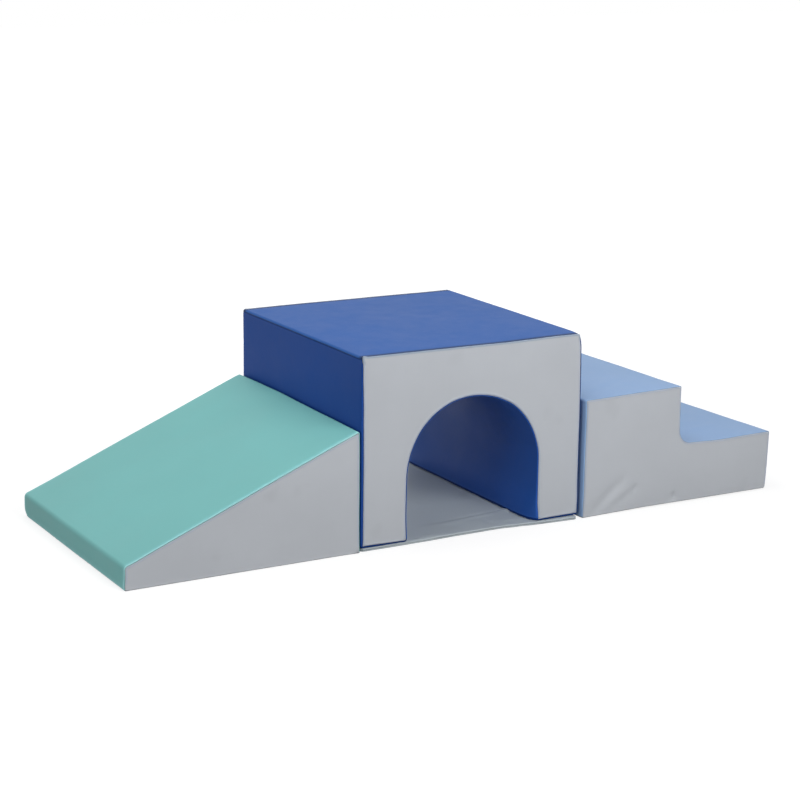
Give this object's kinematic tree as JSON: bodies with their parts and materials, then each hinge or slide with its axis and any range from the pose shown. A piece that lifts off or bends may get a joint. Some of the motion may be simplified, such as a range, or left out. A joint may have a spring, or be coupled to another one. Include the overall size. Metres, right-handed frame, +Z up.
{
  "type": "soft play foam climber",
  "caption": "Vinyl-covered foam climber: a low ramp, a square block with an arched crawl tunnel on a floor mat, and steps.",
  "frame": {"origin": "on the floor, under the middle of the row's box, all blocks together", "axes": "+X along the row from the ramp to the steps, +Y from the front to the back, +Z up"},
  "size_m": [1.486, 0.543, 0.3878],
  "materials": {
    "mat_vinyl": "satin",
    "grey_vinyl": "satin",
    "base_vinyl": "satin",
    "teal_vinyl": "satin",
    "sky_blue_vinyl": "satin",
    "royal_blue_vinyl": "satin",
    "foam": "matte",
    "zip_tape": "matte",
    "zip_metal": "satin",
    "hook_tape": "matte",
    "loop_tape": "matte"
  },
  "bodies": {
    "mat_unit": {"mat_bottom_sheet": "mat_vinyl", "mat_foam": "foam", "mat_loop_patch_1": "loop_tape", "mat_loop_patch_2": "loop_tape", "mat_loop_patch_3": "loop_tape", "mat_loop_patch_4": "loop_tape", "mat_top_sheet": "mat_vinyl"},
    "tunnel_unit": {"tunnel_arch_liner": "royal_blue_vinyl", "tunnel_foam_core": "foam", "tunnel_front_panel": "grey_vinyl", "tunnel_hook_patch_1": "hook_tape", "tunnel_hook_patch_2": "hook_tape", "tunnel_hook_patch_3": "hook_tape", "tunnel_hook_patch_4": "hook_tape", "tunnel_left_foot": "royal_blue_vinyl", "tunnel_left_loop_strip_high": "loop_tape", "tunnel_left_loop_strip_low": "loop_tape", "tunnel_left_panel": "royal_blue_vinyl", "tunnel_left_zip_far_stop": "zip_metal", "tunnel_left_zip_left_tape": "zip_tape", "tunnel_left_zip_near_stop": "zip_metal", "tunnel_left_zip_right_tape": "zip_tape", "tunnel_rear_panel": "grey_vinyl", "tunnel_right_foot": "royal_blue_vinyl", "tunnel_right_loop_strip_high": "loop_tape", "tunnel_right_loop_strip_low": "loop_tape", "tunnel_right_panel": "royal_blue_vinyl", "tunnel_right_zip_far_stop": "zip_metal", "tunnel_right_zip_left_tape": "zip_tape", "tunnel_right_zip_near_stop": "zip_metal", "tunnel_right_zip_right_tape": "zip_tape", "tunnel_top_panel": "royal_blue_vinyl"},
    "slide_unit": {"slide_base_panel": "base_vinyl", "slide_foam_core": "foam", "slide_front_panel": "grey_vinyl", "slide_hook_strip_high": "hook_tape", "slide_hook_strip_low": "hook_tape", "slide_rear_panel": "grey_vinyl", "slide_top_wrap": "teal_vinyl", "slide_zip_far_stop": "zip_metal", "slide_zip_left_tape": "zip_tape", "slide_zip_near_stop": "zip_metal", "slide_zip_right_tape": "zip_tape"},
    "steps_unit": {"steps_base_panel": "base_vinyl", "steps_foam_core": "foam", "steps_front_panel": "grey_vinyl", "steps_hook_strip_high": "hook_tape", "steps_hook_strip_low": "hook_tape", "steps_rear_panel": "grey_vinyl", "steps_tread_wrap": "sky_blue_vinyl", "steps_zip_far_stop": "zip_metal", "steps_zip_left_tape": "zip_tape", "steps_zip_near_stop": "zip_metal", "steps_zip_right_tape": "zip_tape"},
    "slide_zip_slider": {"slide_zip_slider": "zip_metal"},
    "steps_zip_slider": {"steps_zip_slider": "zip_metal"},
    "tunnel_left_zip_slider": {"tunnel_left_zip_slider": "zip_metal"},
    "tunnel_right_zip_slider": {"tunnel_right_zip_slider": "zip_metal"}
  },
  "joints": [
    {"name": "tunnel_lift", "type": "slide", "parent": "mat_unit", "child": "tunnel_unit", "axis": [0, 0, 1], "range_m": [0, 0.15]},
    {"name": "slide_pull", "type": "slide", "parent": "mat_unit", "child": "slide_unit", "axis": [-1, 0, 0], "range_m": [0, 0.15]},
    {"name": "steps_pull", "type": "slide", "parent": "mat_unit", "child": "steps_unit", "axis": [1, 0, 0], "range_m": [0, 0.15]},
    {"name": "slide_zip", "type": "slide", "parent": "slide_unit", "child": "slide_zip_slider", "axis": [0, -1, 0], "range_m": [0, 0.4414]},
    {"name": "steps_zip", "type": "slide", "parent": "steps_unit", "child": "steps_zip_slider", "axis": [0, -1, 0], "range_m": [0, 0.4414]},
    {"name": "tunnel_left_zip", "type": "slide", "parent": "tunnel_unit", "child": "tunnel_left_zip_slider", "axis": [0, -1, 0], "range_m": [0, 0.4414]},
    {"name": "tunnel_right_zip", "type": "slide", "parent": "tunnel_unit", "child": "tunnel_right_zip_slider", "axis": [0, -1, 0], "range_m": [0, 0.4414]}
  ]
}
